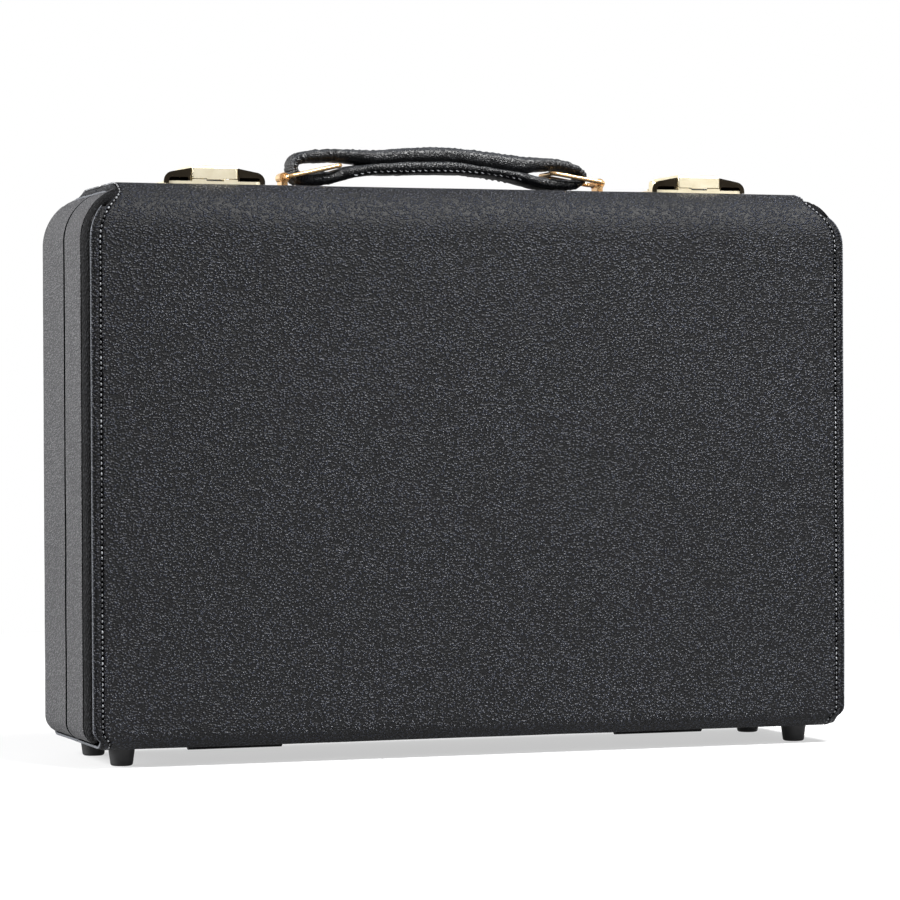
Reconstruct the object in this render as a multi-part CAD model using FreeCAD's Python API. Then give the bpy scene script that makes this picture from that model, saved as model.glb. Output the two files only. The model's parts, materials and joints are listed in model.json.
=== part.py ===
"""Hard clarinet case that stands on its hinge side, as a briefcase does, modelled in millimetres.

+X runs along the case, +Y from the lid's face to the base's back, +Z up from the floor to the handle.
The origin is on the floor, under the middle of the case.
"""

import FreeCAD, Part
import math
import os

V = FreeCAD.Vector

# Whole case
case_width = 364.0
case_height = 250.0
case_depth = 94.0
lid_depth = 45.0
foot_height = 8.0
rim_gap = 0.6
overrun = 2.0
near = 0.001

# Plywood shells, and the leather on them
wall = 4.0
cover_t = 1.8
skin_t = 1.6
skin_tuck = 2.0
corner_high = 24.0
corner_low = 8.0
roll_high = 22.0
roll_low = 8.0
side_roll = 6.0
rim_round = 1.2
flange_inset = 1.5
step_high = 13.0
step_low = 5.0
bead_depth = 12.0
bead_groove = 0.6

# Lining, rim tongue and padded lid board
lining_t = 0.8
lid_pad_t = 3.0
pad_margin = 4.0
pad_crown = 1.0
tongue_t = 1.6
tongue_reach = 4.0
tongue_seat = 12.0
tongue_clear = 0.4

# Fitted bed and its pockets, long sides along X
bed_clear = 0.2
bed_below_rim = 3.0
bed_edge = 4.5
bed_web = 8.0
bed_board_t = 1.6
joint_floor_t = 6.5
small_floor_t = 8.5
tool_floor_t = 4.5
rod_floor_t = 16.5
lower_joint_w = 46.0
upper_joint_w = 44.0
mouthpiece_l = 96.0
barrel_l = 68.0
bell_l = 110.0
bell_w = 84.0
small_pocket_w = 38.0
rod_end_in = 32.0

# Feet
foot_end_in = 19.0
lid_foot_in = 20.0
base_foot_in = 21.0
foot_r_top = 6.0
foot_r_low = 4.9
foot_edge = 1.2
foot_screw_r = 1.4
foot_screw_head_r = 2.4
foot_screw_head_t = 1.4
foot_screw_sunk = 2.2
screw_bite = 3.4
hole_clear = 0.1
head_top_share = 0.7

# Stop hinges, under the parting line
hinge_end_in = 78.0
hinge_l = 44.0
leaf_w = 14.0
leaf_t = 1.0
barrel_r = 2.2
hinge_pin_r = 1.0
hinge_pin_clear = 0.05
hinge_drop = 2.3
knuckle_gap = 0.3
leaf_screw_r = 1.1
leaf_screw_head_r = 2.0
leaf_screw_head_t = 0.6
leaf_screw_pitch = 15.0
leaf_screw_in = 5.5

# Latches: strike plate and wings on the lid, housing on the base, and the hasp that spans both
latch_end_in = 64.4
latch_w = 47.0
latch_plate_t = 1.5
latch_reach = 21.0
latch_flange = 0.8
latch_end_round = 4.0
housing_w = 31.0
housing_l = 11.1
housing_round = 3.0
housing_wall_h = 2.5
ear_t = 1.6
ear_reach = 2.6
ear_rise = 2.2
wing_h = 7.4
wing_drop = 2.4
wing_shoulder = 4.5
wing_depth = 15.0
wing_taper = 8.0
wing_back_share = 0.6
wing_set_back = 0.8
wing_foot_gap = 0.4
wing_skin = 1.0
wing_gap_h = 3.2
wing_gap_in = 2.4
wing_gap_round = 1.2
wing_rim = 0.7
wing_rim_out = 0.4
lever_w = 21.0
lever_side_clear = 0.4
lever_t = 1.2
lever_top = 8.5
lever_lip_gap = 2.7
lever_front_round = 1.4
lever_side_round = 0.9
lever_tab_w = 7.4
lever_tab_h = 0.45
lever_pin_y = 6.0
lever_pin_r = 1.0
lever_pin_clear = 0.05
lever_barrel_r = 3.0
sill_h = 0.8
sill_t = 2.5
notch_w = 8.0
catch_w = 8.0
catch_t = 0.6
catch_gap = 0.2
catch_arm = 6.0
keeper_w = 12.0
keeper_h = 0.65
keeper_t = 2.0
keeper_in = 4.0
spring_w = 5.0
spring_t = 0.4
spring_gap = 0.2
spring_ramp = 1.4
spring_base_in = 1.2
latch_rivet_r = 1.0
latch_rivet_head_r = 1.8
latch_rivet_head_t = 0.6
housing_rivet_in = 2.2

# Handle
post_x = 77.6
handle_y = 6.0
post_plate_l = 13.0
post_plate_w = 12.0
post_plate_t = 1.2
post_plate_round = 2.6
post_axis_h = 5.6
post_barrel_r = 2.4
post_barrel_l = 7.0
post_web_t = 3.0
post_rivet_r = 0.9
post_rivet_head_r = 1.4
post_rivet_head_t = 0.5
post_rivet_x = 4.4
post_rivet_y = 3.6
ring_wire_r = 1.0
ring_clear = 0.06
ring_l = 26.0
ring_w = 18.8
ring_corner = 2.4
ring_rise_left = 5.8
ring_rise_right = 4.0
strap_w = 22.0
strap_end_w = 16.0
strap_grip_half = 34.0
strap_loop_in = 24.0
strap_half = 74.8
strap_h = 21.3
core_l = 64.0
core_w = 15.0
core_t = 0.8
core_h = 14.0

# Side view of the handle: x as a share of strap_half, height and corner radius as shares of strap_h
strap_outline_shares = (
    (-1.0, 0.165, 0.09), (-1.0, 0.892, 0.42), (-0.477, 0.89, 0.94), (-0.04, 1.003, 2.8),
    (0.504, 0.815, 0.94), (0.796, 0.817, 0.56), (0.947, 0.455, 0.14), (0.88, 0.1, 0.12),
    (0.63, 0.1, 0.56), (0.332, 0.376, 0.94), (0.0, 0.418, 2.8), (-0.497, 0.366, 0.94),
    (-0.796, 0.09, 0.56), (-0.957, 0.1, 0.06),
)
left_loop_shares = (
    (-0.958, 0.394, 0.05), (-0.947, 0.587, 0.06), (-0.67, 0.639, 0.04),
    (-0.67, 0.47, 0.04), (-0.743, 0.418, 0.14),
)
right_loop_shares = (
    (0.55, 0.446, 0.02), (0.65, 0.55, 0.2), (0.86, 0.51, 0.06), (0.884, 0.42, 0.05), (0.86, 0.32, 0.06),
    (0.64, 0.34, 0.2),
)

# Places worked out from the sizes above
case_half = case_width / 2
z_low = foot_height
z_high = foot_height + case_height
front_y = -case_depth / 2
back_y = case_depth / 2
part_y = front_y + lid_depth
lid_rim_y = part_y - rim_gap / 2
base_rim_y = part_y + rim_gap / 2
hinge_z = z_low - hinge_drop
cavity_end_in = skin_t + wall
cavity_face_in = cover_t + wall
lined_end_in = cavity_end_in + lining_t
lined_face_in = cavity_face_in + lining_t
foot_x = case_half - foot_end_in
hinge_x = case_half - hinge_end_in
latch_x = case_half - latch_end_in
latch_front_y = part_y - latch_reach
latch_z = z_high + latch_plate_t
lever_pin_z = z_high + lever_top - lever_barrel_r
ring_axis_z = z_high + post_axis_h


def in_xz(y):
    """Places outline points (x, z) in the plane at this y."""
    return lambda u, v: V(u, y, v)


def in_yz(x):
    """Places outline points (y, z) in the plane at this x."""
    return lambda u, v: V(x, u, v)


def in_xy(z):
    """Places outline points (x, y) in the plane at this z."""
    return lambda u, v: V(u, v, z)


def rounded_wire(corners, place):
    """A closed wire through corners (u, v, radius), each rounded by an arc of that radius."""
    arcs = []
    for i, (u, v, r) in enumerate(corners):
        here = V(u, v, 0)
        back = V(corners[i - 1][0], corners[i - 1][1], 0) - here
        ahead = V(corners[(i + 1) % len(corners)][0], corners[(i + 1) % len(corners)][1], 0) - here
        back.normalize()
        ahead.normalize()
        half_angle = back.getAngle(ahead) / 2
        inward = back + ahead
        inward.normalize()
        start = here + back * (r / math.tan(half_angle))
        end = here + ahead * (r / math.tan(half_angle))
        middle = here + inward * (r / math.sin(half_angle) - r)
        arcs.append((r, start, middle, end))
    edges = []
    for i, (r, start, middle, end) in enumerate(arcs):
        following = arcs[(i + 1) % len(arcs)][1]
        if r > 0:
            edges.append(Part.Arc(*[place(p.x, p.y) for p in (start, middle, end)]).toShape())
        if end.distanceToPoint(following) > near:
            edges.append(Part.makeLine(place(end.x, end.y), place(following.x, following.y)))
    return Part.Wire(edges)


def rounded_face(corners, place):
    """A flat face on rounded corners."""
    return Part.Face(rounded_wire(corners, place))


def box(x0, x1, y0, y1, z0, z1):
    """A block between two corners."""
    return Part.makeBox(x1 - x0, y1 - y0, z1 - z0, V(x0, y0, z0))


def fuse_all(shapes):
    """All shapes as one solid, with no seams left between them."""
    return shapes[0].fuse(shapes[1:]).removeSplitter()


def fastener(at, axis, shank_r, shank_l, head_r, head_t):
    """A rivet or screw whose head bears at this point, with its shank along the axis."""
    head = Part.makeCone(head_r, head_r * head_top_share, head_t, at, axis * -1)
    return head.fuse(Part.makeCylinder(shank_r, shank_l, at, axis)).removeSplitter()


def fastener_hole(at, axis, shank_r, shank_l):
    """The hole for such a shank, a little wider and longer than it."""
    return Part.makeCylinder(shank_r + hole_clear, shank_l + hole_clear, at, axis)


def outline_prism(end_in, face_in, y0, y1):
    """The front view's outline, drawn in by these amounts, from y0 to y1."""
    half = case_half - end_in
    low = z_low + face_in
    high = z_high - face_in
    r_low = max(corner_low - end_in, 0)
    r_high = max(corner_high - end_in, 0)
    corners = ((-half, low, r_low), (half, low, r_low), (half, high, r_high), (-half, high, r_high))
    return rounded_face(corners, in_xz(y0)).extrude(V(0, y1 - y0, 0))


def roll_prism(face_in):
    """The end view's outline, rolled at the top and bottom edges, drawn in by this amount."""
    front = front_y + face_in
    back = back_y - face_in
    low = z_low + face_in
    high = z_high - face_in
    r_low = max(roll_low - face_in, 0)
    r_high = max(roll_high - face_in, 0)
    corners = ((front, low, r_low), (back, low, r_low), (back, high, r_high), (front, high, r_high))
    start = -case_half - overrun
    return rounded_face(corners, in_yz(start)).extrude(V(2 * (case_half + overrun), 0, 0))


def plan_prism(end_in, face_in):
    """The top view's outline, with its upright edges rounded, drawn in by these amounts."""
    half = case_half - end_in
    front = front_y + face_in
    back = back_y - face_in
    r = max(side_roll - end_in, 0)
    corners = ((-half, front, r), (half, front, r), (half, back, r), (-half, back, r))
    start = z_low - overrun
    return rounded_face(corners, in_xy(start)).extrude(V(0, 0, case_height + 2 * overrun))


def case_form(end_in, face_in, y0, y1):
    """A slice of the case's whole form from y0 to y1, drawn in by these amounts."""
    prism = outline_prism(end_in, face_in, y0, y1)
    return prism.common(roll_prism(face_in)).common(plan_prism(end_in, face_in))


def rim_rounded(prism, rim_y):
    """The prism with the edge at the parting line rounded."""
    edges = [e for e in prism.Edges if all(abs(v.Y - rim_y) < near for v in e.Vertexes)]
    return prism.makeFillet(rim_round, edges)


def end_space(side, y0, y1):
    """The space at one end of the case where the end leather lies."""
    inner = case_half - step_high - skin_tuck
    outer = case_half + overrun
    x0, x1 = sorted((side * inner, side * outer))
    return box(x0, x1, y0, y1, z_low - overrun, z_high + overrun)


def half_case(y0, y1, rim_y):
    """Shell, leather cover, end leathers and lining of the half between y0 and y1."""
    skinned = rim_rounded(outline_prism(0, cover_t, y0, y1), rim_y)
    skinned = skinned.common(roll_prism(cover_t)).common(plan_prism(0, cover_t))
    bare = case_form(skin_t, cover_t + skin_t, y0, y1)
    ends = [skinned.cut(bare).common(end_space(side, y0, y1)) for side in (-1, 1)]

    middle_half = case_half - step_high - skin_tuck
    middle = box(-middle_half, middle_half, y0, y1, z_low, z_high)
    full = case_form(0, cover_t, y0, y1).common(middle).fuse(bare).removeSplitter()
    cavity = case_form(cavity_end_in, cavity_face_in, y0, y1)
    shell = full.cut(cavity)
    lining = cavity.cut(case_form(lined_end_in, lined_face_in, y0, y1))

    sheet = rim_rounded(outline_prism(0, 0, y0, y1), rim_y).common(roll_prism(0)).cut(roll_prism(cover_t))
    flange = outline_prism(flange_inset, cover_t + flange_inset, y0, y1)
    top_half = case_half - step_high
    low_half = case_half - step_low
    middle_z = (z_low + z_high) / 2
    top_band = box(-top_half, top_half, y0, y1, middle_z, z_high + overrun)
    low_band = box(-low_half, low_half, y0, y1, z_low - overrun, middle_z)
    cover = sheet.common(fuse_all([flange, top_band, low_band]))
    return shell, cover, ends, lining


def fastener_group(places, axis, skins, shank_r, head_r, head_t):
    """Fasteners at these places through skins of this thickness, and the holes for them."""
    length = skins + screw_bite
    pieces = [fastener(at, axis, shank_r, length, head_r, head_t) for at in places]
    holes = [fastener_hole(at, axis, shank_r, length) for at in places]
    return pieces, holes


UP = V(0, 0, 1)
DOWN = V(0, 0, -1)
nodes = {}


# Feet, each a rubber cone with a sunk screw
def foot(x, y):
    """One rubber foot, with the recess and hole for its screw."""
    cone = Part.makeCone(foot_r_low, foot_r_top, foot_height, V(x, y, 0))
    rim = [e for e in cone.Edges if all(v.Z < near for v in e.Vertexes)]
    recess = Part.makeCylinder(foot_screw_head_r + hole_clear, foot_screw_sunk + foot_screw_head_t, V(x, y, 0))
    hole = Part.makeCylinder(foot_screw_r + hole_clear, foot_height, V(x, y, 0))
    return cone.makeFillet(foot_edge, rim).cut([recess, hole])


foot_seat = foot_screw_sunk + foot_screw_head_t
foot_skins = foot_height - foot_seat + cover_t
foot_rows = {"lid": front_y + lid_foot_in, "base": back_y - base_foot_in}
holes = {"lid": [], "base": []}
for half, y in foot_rows.items():
    nodes[half + "_feet"] = [foot(side * foot_x, y) for side in (-1, 1)]
    places = [V(side * foot_x, y, foot_seat) for side in (-1, 1)]
    pieces, cuts = fastener_group(places, UP, foot_skins, foot_screw_r, foot_screw_head_r, foot_screw_head_t)
    nodes[half + "_foot_screws"] = pieces
    holes[half] += cuts


# Stop hinges: two knuckles on the base leaf, one between them on the lid leaf, and a pin
knuckle_l = (hinge_l - 2 * knuckle_gap) / 3
knuckle_starts = [i * (knuckle_l + knuckle_gap) - hinge_l / 2 for i in range(3)]


def barrel(x, start, radius, length):
    """A cylinder on the hinge axis, from this distance beside the hinge's middle."""
    return Part.makeCylinder(radius, length, V(x + start, part_y, hinge_z), V(1, 0, 0))


def hinge_leaf(x, side, own, others, bore_r, screw_holes):
    """One leaf: a plate under the case, with its own knuckles and room for the other's."""
    y0, y1 = sorted((part_y + side * rim_gap / 2, part_y + side * leaf_w))
    plate = box(x - hinge_l / 2, x + hinge_l / 2, y0, y1, z_low - leaf_t, z_low)
    room = [barrel(x, knuckle_starts[i] - knuckle_gap, barrel_r + knuckle_gap, knuckle_l + 2 * knuckle_gap)
            for i in others]
    knuckles = [barrel(x, knuckle_starts[i], barrel_r, knuckle_l) for i in own]
    bore = barrel(x, -hinge_l / 2 - overrun, bore_r, hinge_l + 2 * overrun)
    return fuse_all([plate.cut(room)] + knuckles).cut([bore] + screw_holes)


leaf_rows = {"lid": -1, "base": 1}
for half, side in leaf_rows.items():
    own, others = ((1,), (0, 2)) if half == "lid" else ((0, 2), (1,))
    bore_r = hinge_pin_r + hinge_pin_clear if half == "lid" else hinge_pin_r
    y = part_y + side * (leaf_w - leaf_screw_in)
    screws = []
    for name, x in (("left", -hinge_x), ("right", hinge_x)):
        places = [V(x + end * leaf_screw_pitch / 2, y, z_low - leaf_t) for end in (-1, 1)]
        pieces, cuts = fastener_group(places, UP, leaf_t + cover_t, leaf_screw_r, leaf_screw_head_r,
                                      leaf_screw_head_t)
        screws += pieces
        holes[half] += cuts
        nodes[half + "_hinge_leaf_" + name] = [hinge_leaf(x, side, own, others, bore_r, cuts)]
    nodes[half + "_hinge_screws"] = screws
nodes["hinge_pins"] = [barrel(x, -hinge_l / 2, hinge_pin_r, hinge_l) for x in (-hinge_x, hinge_x)]


# Latches: plates on both halves, two wings on the lid's, and a hasp hinged on the base's
latch_base_y = base_rim_y + rim_round
latch_lid_y = lid_rim_y - rim_round
latch_back_y = latch_base_y + housing_l
keeper_y = latch_front_y + keeper_in
wing_inner = lever_w / 2 + lever_side_clear
wing_outer = latch_w / 2
wing_front_y = latch_front_y + wing_set_back
wing_back_y = wing_front_y + wing_depth
wing_rivet_x = (wing_inner + wing_outer - wing_taper / 2) / 2
housing_rivet_x = wing_inner / 2


def latch_plate(x, half, y0, y1, r_front, r_back):
    """A plate on top of the case, this far to each side of x."""
    ends = (x - half, x + half)
    corners = [(end, y0, r_front) for end in ends] + [(end, y1, r_back) for end in reversed(ends)]
    return rounded_face(corners, in_xy(z_high)).extrude(V(0, 0, latch_plate_t))


def lid_plate(x):
    """The plate under the wings and the hasp's lip."""
    half = wing_outer - latch_flange
    return latch_plate(x, half, latch_front_y, latch_lid_y, latch_end_round, latch_flange)


def strike_plate(x):
    """The lid's plate, with the notched sill under the hasp's lip and the keeper behind it."""
    sills = [box(*sorted((x + side * notch_w / 2, x + side * lever_w / 2)), latch_front_y,
                 latch_front_y + sill_t, latch_z, latch_z + sill_h) for side in (-1, 1)]
    keeper = box(x - keeper_w / 2, x + keeper_w / 2, keeper_y, keeper_y + keeper_t,
                 latch_z, latch_z + keeper_h)
    return fuse_all([lid_plate(x), keeper] + sills)


def wing_arch(x, side, y, inset):
    """The wing's section at this y, drawn in by this amount from its arch and its sides."""
    share = (y - wing_front_y) / wing_depth
    shrink = 1 - (1 - wing_back_share) * share
    inner = wing_inner + inset
    outer = wing_outer - wing_taper * share - inset
    high = z_high + wing_h * shrink - inset
    drop = wing_drop * shrink
    shoulder = wing_shoulder * shrink - inset
    low = z_high + wing_foot_gap - inset / 2
    corners = ((inner, low, 0), (outer, low, 0), (outer, high - drop, shoulder), (inner, high, 0))
    return rounded_wire([(x + side * u, z, r) for u, z, r in corners], in_xz(y))


def wing(x, side):
    """One arched wing beside the hasp: a shell that tapers to the back, open low in front in a raised rim."""
    ends = (wing_front_y, wing_back_y)
    inner_ends = (wing_front_y + wing_skin, wing_back_y - wing_skin)
    shell = Part.makeLoft([wing_arch(x, side, y, 0) for y in ends], True, True)
    hollow = Part.makeLoft([wing_arch(x, side, y, wing_skin) for y in inner_ends], True, True)
    gap_end = wing_outer - wing_gap_in
    rim_y = wing_front_y - wing_rim_out
    openings = []
    for grow in (0, wing_rim):
        corners = ((wing_inner, latch_z, 0), (gap_end + grow, latch_z, 0),
                   (gap_end + grow, z_high + wing_gap_h + grow, wing_gap_round + grow),
                   (wing_inner, z_high + wing_gap_h + grow, 0))
        place = [(x + side * u, z, r) for u, z, r in corners]
        openings.append(rounded_face(place, in_xz(rim_y)).extrude(V(0, wing_front_y + wing_skin - rim_y, 0)))
    return fuse_all([shell, openings[1]]).cut([hollow, openings[0], lid_plate(x)])


def latch_housing(x):
    """The base's plate, with an ear at each end of the hasp's pin and a low wall behind it."""
    plate = latch_plate(x, housing_w / 2, latch_base_y, latch_back_y, latch_flange, housing_round)
    profile = ((lever_pin_y - ear_reach, latch_z, 0), (lever_pin_y + ear_reach, latch_z, 0),
               (lever_pin_y + ear_reach, lever_pin_z + ear_rise, ear_rise),
               (lever_pin_y - ear_reach, lever_pin_z + ear_rise, ear_rise))
    ears = []
    for side in (-1, 1):
        start = min(x + side * wing_inner, x + side * (wing_inner + ear_t))
        ears.append(rounded_face(profile, in_yz(start)).extrude(V(ear_t, 0, 0)))
    wall_half = wing_inner + ear_t
    back_wall = box(x - wall_half, x + wall_half, latch_back_y - wing_skin, latch_back_y, latch_z,
                    latch_z + housing_wall_h)
    return fuse_all([plate, back_wall] + ears)


def latch_lever(x):
    """The hasp: a top plate with a front lip and a tab, rolled round its pin."""
    y0 = latch_front_y
    top = z_high + lever_top
    lip = z_high + lever_lip_gap
    inner_round = lever_front_round - lever_t
    corners = ((y0, lip, 0), (y0, top, lever_front_round), (lever_pin_y, top, 0),
               (lever_pin_y, top - lever_t, 0), (y0 + lever_t, top - lever_t, inner_round), (y0 + lever_t, lip, 0))
    start = x - lever_w / 2
    end = start + lever_w
    plate = rounded_face(corners, in_yz(start)).extrude(V(lever_w, 0, 0))
    plan = ((start, y0, lever_side_round), (end, y0, lever_side_round), (end, lever_pin_y, 0),
            (start, lever_pin_y, 0))
    plate = plate.common(rounded_face(plan, in_xy(lip)).extrude(V(0, 0, top - lip)))
    tab = box(x - lever_tab_w / 2, x + lever_tab_w / 2, y0, y0 + lever_t, lip - lever_tab_h, lip + lever_t)
    hinge_start = V(start, lever_pin_y, lever_pin_z)
    roll = Part.makeCylinder(lever_barrel_r, lever_w, hinge_start, V(1, 0, 0))
    bore = Part.makeCylinder(lever_pin_r + lever_pin_clear, lever_w, hinge_start, V(1, 0, 0))
    return fuse_all([plate, tab, roll]).cut(bore)


def latch_catch(x):
    """The spring-steel hook inside the hasp, which drops in front of the keeper."""
    under = z_high + lever_top - lever_t
    hook_y = keeper_y - catch_gap
    arm = box(x - catch_w / 2, x + catch_w / 2, hook_y - catch_t, hook_y + catch_arm, under - catch_t, under)
    hook = box(x - catch_w / 2, x + catch_w / 2, hook_y - catch_t, hook_y, latch_z + catch_gap, under)
    return fuse_all([arm, hook])


def latch_spring(x):
    """The leaf spring under the hasp's roll."""
    tip_z = lever_pin_z - lever_barrel_r - spring_gap
    y0 = latch_base_y + spring_base_in
    y2 = lever_pin_y - spring_ramp
    y1 = y2 - spring_ramp
    y3 = lever_pin_y + spring_ramp
    corners = ((y0, latch_z, 0), (y1, latch_z, 0), (y2, tip_z - spring_t, 0), (y3, tip_z - spring_t, 0),
               (y3, tip_z, 0), (y2, tip_z, 0), (y1, latch_z + spring_t, 0), (y0, latch_z + spring_t, 0))
    return rounded_face(corners, in_yz(x - spring_w / 2)).extrude(V(spring_w, 0, 0))


def latch_pin(x):
    """The pin that carries the hasp between the two ears."""
    half = wing_inner + ear_t
    return Part.makeCylinder(lever_pin_r, 2 * half, V(x - half, lever_pin_y, lever_pin_z), V(1, 0, 0))


latch_rivets = {"lid": [], "base": []}
rivet_places = {"lid": (wing_rivet_x, (wing_front_y + wing_back_y) / 2),
                "base": (housing_rivet_x, latch_base_y + housing_rivet_in)}
for name, x in (("left", -latch_x), ("right", latch_x)):
    cuts = {}
    for half, (u, y) in rivet_places.items():
        places = [V(x + side * u, y, latch_z) for side in (-1, 1)]
        pieces, cuts[half] = fastener_group(places, DOWN, latch_plate_t + cover_t, latch_rivet_r,
                                            latch_rivet_head_r, latch_rivet_head_t)
        latch_rivets[half] += pieces
        holes[half] += cuts[half]
    nodes["strike_plate_" + name] = [strike_plate(x).cut(cuts["lid"])]
    nodes["strike_wings_" + name] = [wing(x, -1), wing(x, 1)]
    nodes["latch_housing_" + name] = [latch_housing(x).cut(cuts["base"] + [latch_pin(x)])]
    nodes["latch_lever_" + name] = [latch_lever(x)]
    nodes["latch_catch_" + name] = [latch_catch(x)]
nodes["latch_pins"] = [latch_pin(x) for x in (-latch_x, latch_x)]
nodes["latch_springs"] = [latch_spring(x) for x in (-latch_x, latch_x)]
nodes["strike_rivets"] = latch_rivets["lid"]
nodes["latch_rivets"] = latch_rivets["base"]


# Handle: two riveted posts, two wire rings, and the leather strap on its steel core
def handle_post(x, rivet_holes):
    """A plate with a rolled barrel on it, bored for the ring."""
    corners = [(x + u * post_plate_l / 2, handle_y + v * post_plate_w / 2, post_plate_round)
               for u, v in ((-1, -1), (1, -1), (1, 1), (-1, 1))]
    plate = rounded_face(corners, in_xy(z_high)).extrude(V(0, 0, post_plate_t))
    y0 = handle_y - post_barrel_l / 2
    roll = Part.makeCylinder(post_barrel_r, post_barrel_l, V(x, y0, ring_axis_z), V(0, 1, 0))
    web = box(x - post_web_t / 2, x + post_web_t / 2, y0, y0 + post_barrel_l, z_high, ring_axis_z)
    bore = Part.makeCylinder(ring_wire_r + ring_clear, post_barrel_l, V(x, y0, ring_axis_z), V(0, 1, 0))
    return fuse_all([plate, web, roll]).cut([bore] + rivet_holes)


def handle_ring(x, side, rise):
    """A rectangle of round wire, from the post's barrel towards the middle and up by this rise."""
    run = math.sqrt(ring_l ** 2 - rise ** 2)
    place = lambda u, v: V(x - side * u * run / ring_l, handle_y + v, ring_axis_z + u * rise / ring_l)
    corners = ((0, -ring_w / 2, ring_corner), (ring_l, -ring_w / 2, ring_corner),
               (ring_l, ring_w / 2, ring_corner), (0, ring_w / 2, ring_corner))
    path = rounded_wire(corners, place)
    first = path.OrderedEdges[0]
    start = first.valueAt(first.FirstParameter)
    section = Part.Wire(Part.makeCircle(ring_wire_r, start, first.tangentAt(first.FirstParameter)))
    return path.makePipeShell([section], True, False)


def strap_face(shares, y):
    """One outline of the handle's side view, in the plane at this y."""
    corners = [(u * strap_half, z_high + v * strap_h, r * strap_h) for u, v, r in shares]
    return rounded_face(corners, in_xz(y))


post_rivets = []
for name, side, rise in (("left", -1, ring_rise_left), ("right", 1, ring_rise_right)):
    x = side * post_x
    places = [V(x + u * post_rivet_x, handle_y + v * post_rivet_y, z_high + post_plate_t)
              for u in (-1, 1) for v in (-1, 1)]
    pieces, cuts = fastener_group(places, DOWN, post_plate_t + cover_t, post_rivet_r, post_rivet_head_r,
                                  post_rivet_head_t)
    post_rivets += pieces
    holes["base"] += cuts
    nodes["handle_post_" + name] = [handle_post(x, cuts)]
    nodes["handle_ring_" + name] = [handle_ring(x, side, rise)]
nodes["post_rivets"] = post_rivets

strap_y = handle_y - strap_w / 2
strap = strap_face(strap_outline_shares, strap_y).extrude(V(0, strap_w, 0))
width_rows = ((-strap_half, strap_end_w), (strap_loop_in - strap_half, strap_end_w), (-strap_grip_half, strap_w),
              (strap_grip_half, strap_w), (strap_half - strap_loop_in, strap_end_w), (strap_half, strap_end_w))
plan = [(u, handle_y - w / 2, 0) for u, w in width_rows] + [(-u, handle_y + w / 2, 0) for u, w in width_rows]
strap = strap.common(rounded_face(plan, in_xy(z_high)).extrude(V(0, 0, 2 * strap_h)))
core_z = z_high + core_h - core_t / 2
core = box(-core_l / 2, core_l / 2, handle_y - core_w / 2, handle_y + core_w / 2, core_z, core_z + core_t)
loops = [strap_face(shares, strap_y).extrude(V(0, strap_w, 0))
         for shares in (left_loop_shares, right_loop_shares)]
nodes["handle_strap"] = [strap.cut(loops + [core])]
nodes["handle_core"] = [core]

# The two halves of the case
lid_shell, lid_cover, lid_ends, lid_lining = half_case(front_y, lid_rim_y, lid_rim_y)
base_shell, base_cover, base_ends, base_lining = half_case(base_rim_y, back_y, base_rim_y)
nodes["lid_shell"] = [lid_shell.cut(holes["lid"])]
nodes["lid_cover"] = [lid_cover.cut(holes["lid"])]
nodes["lid_lining"] = [lid_lining]
nodes["base_shell"] = [base_shell.cut(holes["base"])]
nodes["base_cover"] = [base_cover.cut(holes["base"])]
nodes["base_lining"] = [base_lining]
bead_y = front_y + cover_t + bead_depth
for name, lid_end, base_end, side in zip(("left", "right"), lid_ends, base_ends, (-1, 1)):
    nodes["lid_bead_" + name] = [lid_end.common(end_space(side, front_y, bead_y - bead_groove))]
    nodes["lid_end_" + name] = [lid_end.common(end_space(side, bead_y, lid_rim_y))]
    nodes["base_end_" + name] = [base_end]

# Padded board inside the lid
pad_half = case_half - lined_end_in - pad_margin
pad_low = z_low + lined_face_in + pad_margin
pad_high = z_high - roll_high - pad_margin
pad_y = front_y + lined_face_in
pad_corners = ((-pad_half, pad_low, pad_margin), (pad_half, pad_low, pad_margin),
               (pad_half, pad_high, pad_margin), (-pad_half, pad_high, pad_margin))
pad = rounded_face(pad_corners, in_xz(pad_y)).extrude(V(0, lid_pad_t, 0))
pad_edges = [e for e in pad.Edges if all(abs(v.Y - pad_y - lid_pad_t) < near for v in e.Vertexes)]
nodes["lid_pad"] = [pad.makeFillet(pad_crown, pad_edges)]

# Rim tongue: four strips inside the base's lining that reach into the lid
tongue_half = case_half - lined_end_in
tongue_low = z_low + lined_face_in
tongue_high = z_high - lined_face_in
tongue_corner = corner_high - lined_end_in
seat_y = base_rim_y + tongue_seat
reach_y = base_rim_y - tongue_reach


def tongue_strip(x0, x1, z0, z1, dx, dz):
    """One strip, drawn in by the clearance on its outer face where it enters the lid."""
    seated = box(x0, x1, base_rim_y, seat_y, z0, z1)
    reaching = box(x0 + max(dx, 0), x1 + min(dx, 0), reach_y, base_rim_y, z0 + max(dz, 0), z1 + min(dz, 0))
    return fuse_all([seated, reaching])


upright_low = tongue_low + tongue_t
upright_high = tongue_high - tongue_corner
flat_half = tongue_half - tongue_corner
nodes["rim_tongue"] = [
    tongue_strip(-flat_half, flat_half, tongue_high - tongue_t, tongue_high, 0, -tongue_clear),
    tongue_strip(-flat_half, flat_half, tongue_low, tongue_low + tongue_t, 0, tongue_clear),
    tongue_strip(-tongue_half, tongue_t - tongue_half, upright_low, upright_high, tongue_clear, 0),
    tongue_strip(tongue_half - tongue_t, tongue_half, upright_low, upright_high, -tongue_clear, 0),
]

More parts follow.
